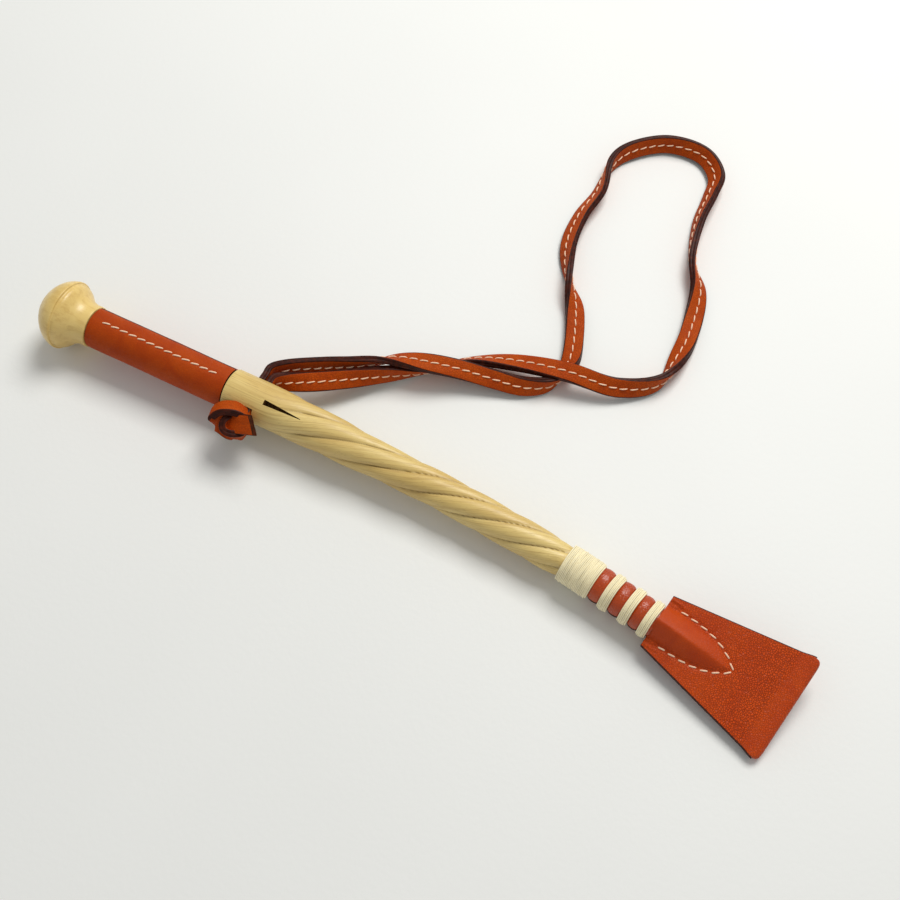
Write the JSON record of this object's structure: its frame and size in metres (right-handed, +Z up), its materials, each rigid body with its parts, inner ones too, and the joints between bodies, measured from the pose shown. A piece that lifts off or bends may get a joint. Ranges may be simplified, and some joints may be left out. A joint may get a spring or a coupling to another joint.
{
  "type": "riding crop",
  "caption": "Miniature riding crop: turned knob, leather grip, twisted cane shaft, thread whippings, stitched folded leather flap and a tied flat wrist strap.",
  "frame": {"origin": "middle of the crop's footprint on the surface it lies on, measured without the wrist strap", "axes": "+X along the crop from the knob towards the flap, +Z up out of the surface it lies on, +Y towards the side that the strap leaves"},
  "size_m": [0.2312, 0.1737, 0.0202],
  "materials": {
    "waxed_wood": "pale turned hardwood, waxed to a soft sheen",
    "cane": "straw-coloured cane, lightly varnished, darker in the grooves",
    "orange_leather": "orange-tan vegetable leather, waxed, with a fine pebble grain and dark painted edges",
    "pale_thread": "pale waxed linen sewing thread",
    "whipping_twine": "straw-coloured waxed twine, laid in tight turns"
  },
  "bodies": {
    "crop": {"knob": "waxed_wood", "grip_sleeve": "orange_leather", "grip_seam_thread": "pale_thread", "shaft": "cane", "whipping_wide": "whipping_twine", "whipping_band_1": "whipping_twine", "whipping_band_2": "whipping_twine", "whipping_band_3": "whipping_twine", "flap_leaf_upper": "orange_leather", "flap_leaf_lower": "orange_leather", "flap_seam_upper": "pale_thread", "flap_seam_lower": "pale_thread", "strap_end_rear": "orange_leather", "strap_end_front": "orange_leather", "strap_knot": "orange_leather", "strap_tail": "orange_leather"},
    "flap_end": {"flap_fold": "orange_leather"},
    "strap": {"strap_loop": "orange_leather"}
  },
  "joints": [
    {"name": "flap_flex", "type": "hinge", "parent": "crop", "child": "flap_end", "pos_m": [0.10027, -0.0037, 0.00548], "axis": [0.1785, 0.9493, 0.2588], "range_deg": [-45, 45], "stiffness_Nm_per_rad": 0.02},
    {"name": "strap_swing", "type": "hinge", "parent": "crop", "child": "strap", "pos_m": [-0.0471, 0.0179, 0.0074], "axis": [0, 0, 1], "range_deg": [-15, 40]}
  ]
}
